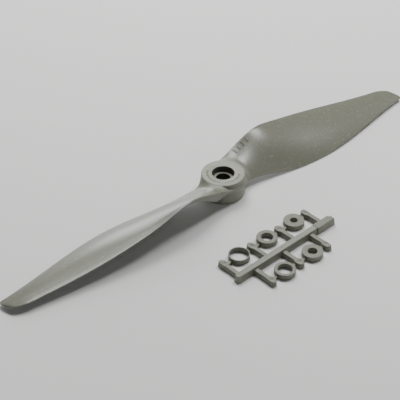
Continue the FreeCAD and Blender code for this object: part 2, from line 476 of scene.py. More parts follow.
    def _flecks(self) -> Tree:
        """Short light flecks of glass fibre lying along the blade.

        Returns:
            The node group, with output Flecks from 0 to 1.
        """
        inputs = [("Scale", 2000.0), ("Amount", 0.7)]
        group, start, end = self._start("fibre_flecks", inputs, "Flecks")
        place = self._stretched(group, start.outputs["Vector"], self.FIBRE_STRETCH)
        streak = self._noise(group, place, start.outputs["Scale"], 2.0, 0.5, 0.8)
        drop = self._math(group, "MULTIPLY", start.outputs["Amount"], self.FLECK_DROP)
        limit = self._math(group, "SUBTRACT", self.FLECK_LIMIT, drop)
        flecks = self._ramp(group, streak, limit, self.FLECK_GAIN)
        group.links.new(flecks, end.inputs["Flecks"])
        return group

    def _grain(self) -> Tree:
        """Fine matte grain of the moulding's surface.

        Returns:
            The node group, with output Height.
        """
        group, start, end = self._start("matte_grain", [("Scale", 5200.0)], "Height")
        place = start.outputs["Vector"]
        coarse_scale = self._math(group, "MULTIPLY", start.outputs["Scale"], self.COARSE_GRAIN)
        fine = self._noise(group, place, start.outputs["Scale"], 3.0, 0.6)
        coarse = self._noise(group, place, coarse_scale, 2.0, 0.5)
        total = self._sum(group, fine, coarse, self.GRAIN_SHARES)
        group.links.new(total, end.inputs["Height"])
        return group

    def _edges(self) -> Tree:
        """Mask of the outward edges, which handling rubs smoother and lighter.

        Returns:
            The node group, with output Worn from 0 to 1.
        """
        group, start, end = self._start("worn_edges", [("Reach", 0.55)], "Worn")
        shape = group.nodes.new("ShaderNodeNewGeometry")
        sharp = shape.outputs["Pointiness"]
        lift = self._ramp(group, sharp, start.outputs["Reach"], self.WEAR_GAIN)
        patchy = self._noise(group, start.outputs["Vector"], 420.0, 4.0, 0.65)
        patches = self._math(group, "MULTIPLY", patchy, self.WEAR_PATCHES)
        worn = self._math(group, "MULTIPLY", lift, patches, clamp=True)
        group.links.new(worn, end.inputs["Worn"])
        return group

    def _skin(self) -> Tree:
        """Mask of the blades' smoother skin, which starts where the matte hub face ends.

        Returns:
            The node group, with output Smooth from 0 to 1.
        """
        inputs = [("From", 0.0092), ("To", 0.0135)]
        group, start, end = self._start("smooth_skin", inputs, "Smooth")
        flat = self._stretched(group, start.outputs["Vector"], (1.0, 1.0, 0.0))
        size = group.nodes.new("ShaderNodeVectorMath")
        size.operation = "LENGTH"
        group.links.new(flat, size.inputs[0])
        share = group.nodes.new("ShaderNodeMapRange")
        share.interpolation_type = "SMOOTHSTEP"
        group.links.new(size.outputs["Value"], share.inputs["Value"])
        group.links.new(start.outputs["From"], share.inputs["From Min"])
        group.links.new(start.outputs["To"], share.inputs["From Max"])
        group.links.new(share.outputs["Result"], end.inputs["Smooth"])
        return group

    def _bore_shade(self) -> Tree:
        """Mask of the walls of the bore and ring seat, where shade is painted into the colour as a
        darker tone.

        It leaves out the ledge on the seat's floor, the mouth and the hub's back face.

        Returns:
            The node group, with output Inside from 0 to 1.
        """
        inputs = [("Radius", 0.00506), ("Floor", 0.0076), ("Top", 0.01016)]
        group, start, end = self._start("bore_painted_shade", inputs, "Inside")
        axes = group.nodes.new("ShaderNodeSeparateXYZ")
        group.links.new(start.outputs["Vector"], axes.inputs[0])
        height = axes.outputs[2]
        squares = [self._math(group, "MULTIPLY", axes.outputs[i], axes.outputs[i]) for i in (0, 1)]
        size = self._math(group, "SQRT", self._math(group, "ADD", *squares))
        from_floor = self._math(group, "SUBTRACT", height, start.outputs["Floor"])
        off_ledge = self._math(group, "ABSOLUTE", from_floor)
        inside = self._ramp(group, start.outputs["Radius"], size, self.BORE_GAIN)
        for value, limit in (
            (start.outputs["Top"], height),
            (off_ledge, self.LEDGE_BAND_M),
            (height, self.BACK_BAND_M),
        ):
            part = self._ramp(group, value, limit, self.BORE_GAIN)
            inside = self._math(group, "MULTIPLY", inside, part)
        patchy = self._noise(group, start.outputs["Vector"], 900.0, 3.0, 0.6)
        patches = self._math(group, "MULTIPLY", patchy, self.BORE_SHADE_PATCHES)
        uneven = self._math(group, "ADD", patches, self.BORE_SHADE_LEAST, clamp=True)
        group.links.new(self._math(group, "MULTIPLY", inside, uneven), end.inputs["Inside"])
        return group


class Painter:
    """Adds nodes to one material."""

    def __init__(self, material: bpy.types.Material) -> None:
        """Opens the material's tree.

        Args:
            material: The material, which gets a node tree.
        """
        material.use_nodes = True
        self.tree = material.node_tree
        self.surface = self.tree.nodes["Principled BSDF"]
        self.place = self.tree.nodes.new("ShaderNodeTexCoord").outputs["Object"]

    def effect(self, group: Tree, label: str) -> Socket:
        """Adds a shared shader group.

        Args:
            group: The group.
            label: Name of the output that is wanted.

        Returns:
            That output.
        """
        node = self.tree.nodes.new("ShaderNodeGroup")
        node.node_tree = group
        self.tree.links.new(self.place, node.inputs["Vector"])
        return node.outputs[label]

    def blend(
        self,
        share: Socket,
        most: float,
        first: Union[Colour, Value],
        second: Union[Colour, Value],
    ) -> Socket:
        """Mixes two colours or two numbers.

        Args:
            share: Mask from 0 to 1.
            most: Share of the second one where the mask is 1.
            first: Colour, number or socket where the mask is 0.
            second: Colour, number or socket where the mask is 1.

        Returns:
            The mixed socket.
        """
        part = self.tree.nodes.new("ShaderNodeMath")
        part.operation = "MULTIPLY"
        part.inputs[1].default_value = most
        self.tree.links.new(share, part.inputs[0])
        mix = self.tree.nodes.new("ShaderNodeMix")
        number = isinstance(second, float)
        mix.data_type, kind = ("FLOAT", "VALUE") if number else ("RGBA", "RGBA")
        self.tree.links.new(part.outputs[0], mix.inputs[0])
        sockets = [s for s in mix.inputs if s.type == kind and s.name in "AB"]
        for socket, value in zip(sockets, (first, second)):
            if isinstance(value, tuple):
                socket.default_value = (*value, 1.0)
            elif isinstance(value, float):
                socket.default_value = value
            else:
                self.tree.links.new(value, socket)
        return next(s for s in mix.outputs if s.type == kind)


@dataclass(frozen=True)
class Nylon:
    """Finish of a glass-filled nylon moulding. Its skin differs where a skin colour is given, and
    shade is painted on its bore walls where a bore shade colour is given.
    """

    name: str
    dark: Colour
    light: Colour
    fleck: Colour
    rubbed: Colour
    roughness: float = 0.55
    grain_depth: float = 0.000016
    fleck_share: float = 0.5
    skin_colour: Optional[Colour] = None
    skin_roughness: float = 0.27
    skin_share: float = 0.8
    # Near-black colour painted on the bore and seat walls as shade.
    bore_shade_colour: Optional[Colour] = None
    bore_shade_share: float = 0.94
    roughness_spread: float = 0.05
    rubbed_share: float = 0.6
    rubbed_smoothing: float = 0.15
    rubbed_gloss_share: float = 0.5
    grain_strength: float = 0.5
    ior: float = 1.52

    def build(self, effects: Effects) -> bpy.types.Material:
        """Makes the material.

        Args:
            effects: Shared shader groups.

        Returns:
            The material.
        """
        material = bpy.data.materials.new(self.name)
        paint = Painter(material)
        tone = paint.effect(effects.tone, "Tone")
        worn = paint.effect(effects.edges, "Worn")
        colour = paint.blend(tone, 1.0, self.dark, self.light)
        spread = self.roughness_spread
        roughness = paint.blend(tone, 1.0, self.roughness - spread, self.roughness + spread)
        if self.skin_colour is not None:
            smooth = paint.effect(effects.skin, "Smooth")
            colour = paint.blend(smooth, self.skin_share, colour, self.skin_colour)
            roughness = paint.blend(smooth, 1.0, roughness, self.skin_roughness)
        flecks = paint.effect(effects.flecks, "Flecks")
        colour = paint.blend(flecks, self.fleck_share, colour, self.fleck)
        colour = paint.blend(worn, self.rubbed_share, colour, self.rubbed)
        # Painted shade: the bore and seat walls are mixed towards a near-black colour.
        if self.bore_shade_colour is not None:
            inside = paint.effect(effects.bore, "Inside")
            colour = paint.blend(inside, self.bore_shade_share, colour, self.bore_shade_colour)
        rubbed_roughness = self.roughness - self.rubbed_smoothing
        roughness = paint.blend(worn, self.rubbed_gloss_share, roughness, rubbed_roughness)
        paint.tree.links.new(colour, paint.surface.inputs["Base Color"])
        paint.tree.links.new(roughness, paint.surface.inputs["Roughness"])
        bump = paint.tree.nodes.new("ShaderNodeBump")
        bump.inputs["Strength"].default_value = self.grain_strength
        bump.inputs["Distance"].default_value = self.grain_depth
        paint.tree.links.new(paint.effect(effects.grain, "Height"), bump.inputs["Height"])
        paint.tree.links.new(bump.outputs["Normal"], paint.surface.inputs["Normal"])
        paint.surface.inputs["IOR"].default_value = self.ior
        return material


class Finishes:
    """The two nylon finishes of the part."""

    def __init__(self, effects: Effects) -> None:
        """Builds both materials.

        Args:
            effects: Shared shader groups.
        """
        self.propeller = Nylon(
            name="propeller_nylon",
            dark=(0.196, 0.203, 0.160),
            light=(0.248, 0.256, 0.206),
            fleck=(0.36, 0.365, 0.30),
            rubbed=(0.35, 0.355, 0.30),
            skin_colour=(0.158, 0.163, 0.128),
            # Painted shade for the bore and seat walls.
            bore_shade_colour=(0.018, 0.018, 0.015),
        ).build(effects)
        self.rings = Nylon(
            name="ring_nylon",
            dark=(0.146, 0.151, 0.118),
            light=(0.204, 0.210, 0.168),
            fleck=(0.33, 0.335, 0.275),
            rubbed=(0.32, 0.325, 0.27),
            grain_depth=0.00002,
        ).build(effects)


def dress(
    obj: bpy.types.Object, material: bpy.types.Material, slot: str, body: str, *nodes: str
) -> None:
    """Gives a finished piece its material and its place in the frame.

    Args:
        obj: The piece.
        material: Its finish.
        slot: The record's material slot it is drawn from; not used.
        body: The CAD body it rides on.
        *nodes: CAD nodes that it stands for.
    """
    obj.data.materials.clear()
    obj.data.materials.append(material)
    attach(obj, body)
    if nodes:
        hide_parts(*nodes)
    log.info("%s: %d faces", obj.name, len(obj.data.polygons))


# ------------------------------------------------------------------ the propeller moulding
@dataclass(frozen=True)
class Station:
    """Edges of the blade at one radius.

    lead_z is the height of the top of the nose, or None where the nose follows the pitch.
    """

    radius: float
    lead_y: float
    lead_z: Optional[float]
    trail_y: float
    trail_z: float


@dataclass(frozen=True)
class Body:
    """Thickness of the blade at one radius."""

    radius: float
    thick: float
    nose: float
    nose_round: float
    tail: float
    camber: float


@dataclass(frozen=True)
class HubSizes:
    """Sizes of the hub boss, its bore and the fillets where the blades meet it."""

    radius: float = 9.63
    height: float = 10.2
    edge: float = 0.45
    back_chamfer: float = 0.35
    bore: float = 3.175
    seat: float = 4.52
    seat_depth: float = 2.6
    mouth: float = 4.93
    mouth_depth: float = 1.1
    bore_flare: float = 0.25
    ledge_round: float = 0.12
    seat_round: float = 0.1
    lip: float = 0.2
    lip_share: float = 0.3
    shoulder_reach: float = 3.8
    shoulder_arc: Pair = (40.0, 60.0)
    shoulder_sink: float = 0.25
    under_reach: float = 1.6
    under_depth: float = 1.3
    under_floor: float = 0.8
    room_share: float = 0.8
    room_step: float = 0.1
    least_reach: float = 0.05
    fillet_power: float = 2.3


@dataclass
class Strip:
    """The twisted strip that runs from tip to tip through the hub.

    peak_weights are the shares that nose, tail and belly have in the thickness at its thickest
    point. spacing gives the steps between sections up to a distance from the shaft axis.
    """

    pitch: float = 152.4
    upright_to: float = 15.0
    square_from: float = 37.0
    per_side: int = 44
    peak_weights: Triple = (0.18, 0.08, 0.48)
    slow_nose_from: float = 20.0
    slow_nose_over: float = 14.0
    slow_nose_reach: float = 0.6
    spacing: tuple[Pair, ...] = ((15.0, 0.3), (40.0, 0.8))
    outer_step: float = 1.5
    tip_step: float = 0.12
    tip_share: float = 0.16
    hub: HubSizes = field(default_factory=HubSizes)
    stations: tuple[Station, ...] = (
        Station(0.0, 10.2, 7.45, -10.2, 6.95),
        Station(3.0, 10.0, 7.65, -9.9, 6.45),
        Station(6.0, 9.8, 8.35, -8.3, 5.2),
        Station(9.0, 9.7, 9.4, -6.3, 4.15),
        Station(12.0, 9.85, 10.55, -5.65, 3.65),
        Station(15.0, 10.05, 11.75, -5.85, 3.45),
        Station(18.0, 10.25, 12.95, -6.3, 3.2),
        Station(22.0, 10.4, 14.35, -7.2, 2.45),
        Station(26.0, 10.45, 15.35, -8.2, 1.7),
        Station(31.0, 10.5, 15.6, -9.5, 0.95),
        Station(37.0, 10.65, None, -10.95, 0.5),
        Station(44.0, 10.85, None, -12.1, 0.45),
        Station(52.0, 10.75, None, -12.8, 0.6),
        Station(61.0, 10.25, None, -12.8, 0.85),
        Station(71.0, 9.3, None, -12.05, 1.05),
        Station(81.0, 8.0, None, -10.75, 1.2),
        Station(90.0, 6.65, None, -9.4, 1.3),
        Station(98.0, 5.35, None, -8.2, 1.4),
        Station(104.0, 4.4, None, -7.4, 1.45),
        Station(108.5, 3.45, None, -6.9, 1.5),
        Station(111.5, 2.0, None, -6.65, 1.5),
        Station(113.4, 0.1, None, -6.5, 1.5),
        Station(114.7, -3.4, None, -6.1, 1.5),
    )
    bodies: tuple[Body, ...] = (
        Body(0.0, 2.6, 0.95, 0.5, 0.95, 0.05),
        Body(3.0, 2.8, 0.9, 0.5, 0.9, 0.05),
        Body(6.0, 3.6, 1.2, 0.5, 0.9, 0.055),
        Body(9.0, 4.5, 2.7, 0.6, 0.9, 0.055),
        Body(12.0, 4.9, 4.2, 0.65, 0.9, 0.05),
        Body(18.0, 4.0, 3.2, 0.7, 0.75, 0.02),
        Body(26.0, 3.1, 1.6, 1.0, 0.6, 0.005),
        Body(37.0, 2.6, 0.95, 1.9, 0.45, 0.015),
        Body(52.0, 2.4, 0.95, 2.2, 0.45, 0.025),
        Body(71.0, 2.05, 0.8, 2.0, 0.45, 0.03),
        Body(90.0, 1.65, 0.65, 1.5, 0.4, 0.03),
        Body(104.0, 1.25, 0.5, 1.0, 0.4, 0.03),
        Body(114.7, 0.7, 0.4, 0.6, 0.35, 0.02),
    )

    def __post_init__(self) -> None:
        """Works out the smooth curves that every section is read from."""
        radii = [b.radius for b in self.bodies]
        self.thick = Curve(radii, [b.thick for b in self.bodies])
        self.camber = Curve(radii, [b.camber for b in self.bodies])
        self.nose = Curve(radii, [b.nose for b in self.bodies])
        self.nose_round = Curve(radii, [b.nose_round for b in self.bodies])
        self.tail = Curve(radii, [b.tail for b in self.bodies])
        leads, trails = [], []
        for s in self.stations:
            rise = (s.lead_y - s.trail_y) * self.pitch / (2 * math.pi * max(s.radius, 1.0))
            lead_z = s.trail_z + rise if s.lead_z is None else s.lead_z
            out = self.outward(s.radius, (s.lead_y - s.trail_y, lead_z - s.trail_z))
            nose = self.nose.at(s.radius)
            leads.append((s.radius, s.lead_y - out[0] * nose / 2, lead_z - out[1] * nose / 2))
            trails.append((-s.radius, -s.trail_y, s.trail_z))
        far = trails[:0:-1] + leads
        self.far_y = Curve([p[0] for p in far], [p[1] for p in far])
        self.far_z = Curve([p[0] for p in far], [p[2] for p in far])
        self.room = [self._room(angle) for angle in range(361)]

    def outward(self, radius: float, chord: Pair) -> Pair:
        """Direction in which a section's thickness is measured.

        Args:
            radius: Distance from the shaft axis.
            chord: Chord from the trailing to the leading edge, as (y, z).

        Returns:
            Unit direction as (y, z): upright at the root, square to the chord further out.
        """
        length = math.hypot(*chord)
        upright = eased((self.square_from - radius) / (self.square_from - self.upright_to))
        y, z = -chord[1] / length * (1 - upright), chord[0] / length * (1 - upright) + upright
        size = math.hypot(y, z)
        return y / size, z / size

    def edges(self, x: float) -> tuple[Pair, Pair]:
        """Middles of the near and far edge of the section at x.

        Args:
            x: Position along the blades, negative on blade B.

        Returns:
            The near and the far edge, each as (y, z).
        """
        return (-self.far_y.at(-x), self.far_z.at(-x)), (self.far_y.at(x), self.far_z.at(x))

    def _room(self, degrees: float) -> float:
        """Width of the strip outside the hub's wall in one direction.

        Args:
            degrees: Direction about the shaft axis.

        Returns:
            The width, up to just past the most that the shoulder can use.
        """
        angle, out = math.radians(degrees), 0.0
        while out < self.hub.shoulder_reach / self.hub.room_share:
            rho = self.hub.radius + out
            near, far = self.edges(rho * math.cos(angle))
            if not near[0] < rho * math.sin(angle) < far[0]:
                break
            out += self.hub.room_step
        return out

    def moved(self, x: float, y: float, z: float, upper: bool) -> float:
        """Height of a surface point once the hub's shoulder or underside fillet is added.

        Args:
            x: Position along the blades.
            y: Position across them.
            z: Height of the plain strip.
            upper: Whether the point is on the front side.

        Returns:
            The new height.
        """
        hub, rho = self.hub, math.hypot(x, y)
        if rho > hub.radius + hub.shoulder_reach:
            return z
        degrees = math.degrees(math.atan2(y, x)) % 360
        low = int(degrees)
        room = self.room[low] + (self.room[low + 1] - self.room[low]) * (degrees - low)
        if upper:
            off_blade = abs((degrees + 90) % 180 - 90)
            start, end = hub.shoulder_arc
            soft = eased((end - off_blade) / (end - start))
            step = soft * max(0.0, hub.height - hub.shoulder_sink * hub.edge - z)
            reach = min(hub.shoulder_reach, hub.room_share * room)
        else:
            step = -max(0.0, min(hub.under_depth, z - hub.under_floor))
            reach = min(hub.under_reach, hub.room_share * room)
        share = held((rho - hub.radius) / max(reach, hub.least_reach))
        return z + step * (1 - share) ** hub.fillet_power

    def section(self, x: float) -> tuple[list[Pair], list[Pair]]:
        """Outline of the section at x.

        Args:
            x: Position along the blades, negative on blade B.

        Returns:
            Upper and lower points as (y, z), both from the near edge to the far edge.
        """
        radius = abs(x)
        near, far = self.edges(x)
        chord = (far[0] - near[0], far[1] - near[1])
        length = math.hypot(*chord)
        lead = chord if x >= 0 else (chord[0], -chord[1])
        out = self.outward(radius, lead)
        if x < 0:
            out = (-out[0], out[1])
        nose, tail = self.nose.at(radius), self.tail.at(radius)
        ends = [(tail, tail / 2), (nose, self.nose_round.at(radius))]
        (near_high, near_round), (far_high, far_round) = ends if x >= 0 else ends[::-1]
        nose_part, tail_part, belly_part = self.peak_weights
        half_thick = self.thick.at(radius) / 2
        belly = (half_thick - nose_part * nose - tail_part * tail) / belly_part
        upper, lower = [], []
        for step in range(self.per_side + 1):
            share = (1 - math.cos(math.pi * step / self.per_side)) / 2
            rest = 1 - share
            plain = near_high / 2 * rest**2 + 2 * share * rest * belly + far_high / 2 * share**2
            off_near, off_far = share * length, rest * length
            near_cap, far_cap = self.cap(off_near, near_round), self.cap(off_far, far_round)
            under = plain * near_cap * far_cap
            if x >= 0:
                above = plain * near_cap * self.soft_cap(off_far, far_round, radius)
            else:
                above = plain * self.soft_cap(off_near, near_round, radius) * far_cap
            bow = 4 * self.camber.at(radius) * share * rest * length
            y, z = near[0] + chord[0] * share, near[1] + chord[1] * share
            upper.append((y + out[0] * (bow + above), z + out[1] * (bow + above)))
            lower.append((y + out[0] * (bow - under), z + out[1] * (bow - under)))
        return upper, lower

    @staticmethod
    def cap(distance: float, length: float) -> float:
        """Rounding factor of a section's end.

        Args:
            distance: Distance from the very edge.
            length: Length of the rounding.

        Returns:
            0 at the edge and 1 past the rounding.
        """
        return math.sqrt(1 - (1 - held(distance / length)) ** 3)

    def soft_cap(self, distance: float, length: float, radius: float) -> float:
        """Rounding factor of the leading edge's upper side, which turns more slowly on the blade.

        Args:
            distance: Distance from the very edge.
            length: Length of the rounding.
            radius: Distance from the shaft axis.

        Returns:
            0 at the edge and 1 past the rounding.
        """
        blade = held((radius - self.slow_nose_from) / self.slow_nose_over)
        reach = length * (1 + self.slow_nose_reach * blade)
        rest = 1 - held(distance / reach)
        return math.sqrt(1 - rest ** (3 - blade))

    def places(self) -> list[float]:
        """Where the mesh has sections: close together at the hub and the tips.

        Returns:
            Positions from tip to tip.
        """
        tip = self.stations[-1].radius
        x, half = 0.0, []
        while x < tip - self.tip_step:
            half.append(x)
            outer = min(self.outer_step, max(self.tip_step, (tip - x) * self.tip_share))
            x += next((step for limit, step in self.spacing if x < limit), outer)
        half.append(tip)
        return [-p for p in half[:0:-1]] + half

    def build(self, name: str) -> bpy.types.Object:
        """Makes the strip's closed mesh.

        Args:
            name: Name of the new object.

        Returns:
            The new object.
        """
        bm = bmesh.new()
        rings = []
        for x in self.places():
            upper, lower = self.section(x)
            loop = [(y, self.moved(x, y, z, True)) for y, z in upper]
            loop += [(y, self.moved(x, y, z, False)) for y, z in lower[-2:0:-1]]
            rings.append([bm.verts.new((x * MM, y * MM, z * MM)) for y, z in loop])
        count = len(rings[0])
        for low, high in zip(rings, rings[1:]):
            for i in range(count):
                j = (i + 1) % count
                bm.faces.new((low[i], low[j], high[j], high[i]))
        for ring in (rings[0], rings[-1]):
            side = self.per_side
            for i in range(1, side):
                a, b = ring[i], ring[i + 1]
                c, d = ring[(2 * side - i - 1) % count], ring[(2 * side - i) % count]
                loop = [v for k, v in enumerate((a, b, c, d)) if v not in (a, b, c, d)[:k]]
                bm.faces.new(loop)
            bm.faces.new((ring[0], ring[1], ring[-1]))
        return finish_mesh(name, bm)


@dataclass
class PropellerMoulding:
    """Hub and both blades as the one moulding that they are; its raised marks are made apart, by
    Marks.
    """

    hub: HubSizes = field(default_factory=HubSizes)
    segments: int = 160
    wall_steps: int = 12

    def boss(self) -> bpy.types.Object:
        """Makes the hub's solid boss.

        Returns:
            The boss, with no bore.
        """
        h = self.hub
        profile: Outline = [(0, 0), (h.radius - h.back_chamfer, 0), (h.radius, h.back_chamfer)]
        wall, steps = h.height - h.edge - h.back_chamfer, self.wall_steps
        profile += [(h.radius, h.back_chamfer + wall * k / steps) for k in range(1, steps)]
        profile += arc((h.radius - h.edge, h.height - h.edge), h.edge, 0, 90)
        profile.append((0, h.height))
        return lathe("boss", profile, self.segments)

    def bore(self) -> bpy.types.Object:
        """Makes the solid that is cut away for the shaft and the ring seat.

        Returns:
            The cutting tool.
        """
        h = self.hub
        floor, top, flared = h.height - h.seat_depth, h.height, h.bore + h.bore_flare
        profile: Outline = [
            (0, -1),
            (flared, -1),
            (flared, 0),
            (h.bore, h.bore_flare),
            (h.bore, floor - h.ledge_round),
            (h.bore + h.ledge_round, floor),
            (h.seat - h.seat_round, floor),
            (h.seat, floor + h.seat_round),
            (h.seat, top - h.mouth_depth),
            (h.mouth, top - h.lip),
            (h.mouth + h.lip * h.lip_share, top - h.lip * h.lip_share),
            (h.mouth + h.lip, top),
            (h.mouth + h.lip, top + 1),
            (0, top + 1),
        ]
        return lathe("bore_tool", profile, self.segments)

    def build(self) -> bpy.types.Object:
        """Makes the moulding.

        Returns:
            The new object.
        """
        moulding = Strip(hub=self.hub).build("propeller_moulding")
        combine(moulding, [self.boss()], Cut.JOIN)
        combine(moulding, [self.bore()], Cut.REMOVE)
        shade(moulding)
        return moulding


def highest_point(tree: BVHTree, x: float, y: float) -> tuple[Vector, Vector]:
    """Finds the top of a surface above one place.

    Args:
        tree: The surface.
        x: Place along the blades.
        y: Place across them.

    Returns:
        The point, in metres, and the surface's normal there.
    """
    down = Vector((0, 0, -1))
    point, normal, _, _ = tree.ray_cast(Vector((x * MM, y * MM, RAY_START_M)), down)
    return point, normal


@dataclass(frozen=True)
class Marks:
    """Plain raised bars that stand in for moulded size marks. They spell nothing.

    layers gives the scale of a bar's outline at each share of its height.
    """

    height: float = 0.22
    hub_radius: float = 7.0
    hub_bar: Pair = (0.42, 1.25)
    hub_arcs: tuple[tuple[float, float, int], ...] = ((126.0, 214.0, 11), (234.0, 306.0, 9))
    blade_from: float = 14.3
    blade_step: float = 2.6
    blade_count: int = 4
    blade_inset: float = 2.6
    blade_bar: Pair = (1.5, 0.42)
    row_gap: float = 0.82
    short_share: float = 0.82
    hub_vary: Triple = (0.75, 0.25, 2.3)
    sink: float = 0.25
    layers: tuple[Pair, ...] = ((1.0, 0.5), (0.86, 0.92), (0.6, 1.0))
    corner: float = 0.45
    crease: float = 40.0

    def bar(self, bm: bmesh.types.BMesh, place: Matrix, size: Pair) -> None:
        """Adds one softly drafted bar, sunk a little into the surface.

        Args:
            bm: Mesh that gets the bar.
            place: Surface frame, with +Z out of the surface.
            size: Length and width.
        """
        rings = []
        heights = [(scale, self.height * share) for scale, share in self.layers]
        for scale, z in [(1.0, -self.sink), *heights]:
            x, y = size[0] / 2 * scale, size[1] / 2 * scale
            trim = min(x, y) * self.corner
            loop = [(x, y - trim), (x - trim, y), (trim - x, y), (-x, y - trim)]
            loop += [(-x, trim - y), (trim - x, -y), (x - trim, -y), (x, trim - y)]
            rings.append([bm.verts.new(place @ Vector((u * MM, v * MM, z * MM))) for u, v in loop])
        count = len(rings[0])
        for low, high in zip(rings, rings[1:]):
            for i in range(count):
                j = (i + 1) % count
                bm.faces.new((low[i], low[j], high[j], high[i]))
        bm.faces.new(rings[-1])
        bm.faces.new(rings[0][::-1])

    def on_hub(self, hub: HubSizes) -> bpy.types.Object:
        """Makes the two arcs of ticks on the hub's front face.

        Args:
            hub: Sizes of the hub.

        Returns:
            The new object.
        """
        bm = bmesh.new()
        least, swing, rate = self.hub_vary
        out = Matrix.Translation((self.hub_radius * MM, 0, hub.height * MM))
        for start, end, count in self.hub_arcs:
            for k in range(count):
                angle = math.radians(start + (end - start) * k / (count - 1))
                reach = self.hub_bar[1] * (least + swing * math.cos(rate * k))
                self.bar(bm, Matrix.Rotation(angle, 4, "Z") @ out, (reach, self.hub_bar[0]))
        made = finish_mesh("hub_size_ticks", bm)
        shade(made, self.crease)
        return made

    def on_blade(self, surface: bpy.types.Object, strip: Strip) -> bpy.types.Object:
        """Makes the stacks of short bars along blade A's root, behind its leading edge.

        Args:
            surface: The finished moulding.
            strip: Its sections.

        Returns:
            The new object.
        """
        graph = bpy.context.evaluated_depsgraph_get()
        tree = BVHTree.FromObject(surface, graph)
        bm = bmesh.new()
        for k in range(self.blade_count):
            x = self.blade_from + self.blade_step * k
            lead = strip.edges(x)[1]
            for row in (-1, 0, 1):
                y = lead[0] - self.blade_inset + row * self.row_gap
                point, normal = highest_point(tree, x, y)
                along = Vector((1, 0, 0)) - normal * normal.x
                along.normalize()
                across = normal.cross(along)
                frame_at = Matrix((along, across, normal)).transposed().to_4x4()
                frame_at.translation = point
                length = self.blade_bar[0] * (1.0 if (row + k) % 2 else self.short_share)
                self.bar(bm, frame_at, (length, self.blade_bar[1]))
        made = finish_mesh("blade_size_bars", bm)
        shade(made, self.crease)
        return made


# ------------------------------------------------------------------ the ring tree
class Row(Enum):
    """The two rows of rings, by the side of the runner that they are on."""

    FAR = 1
    NEAR = -1


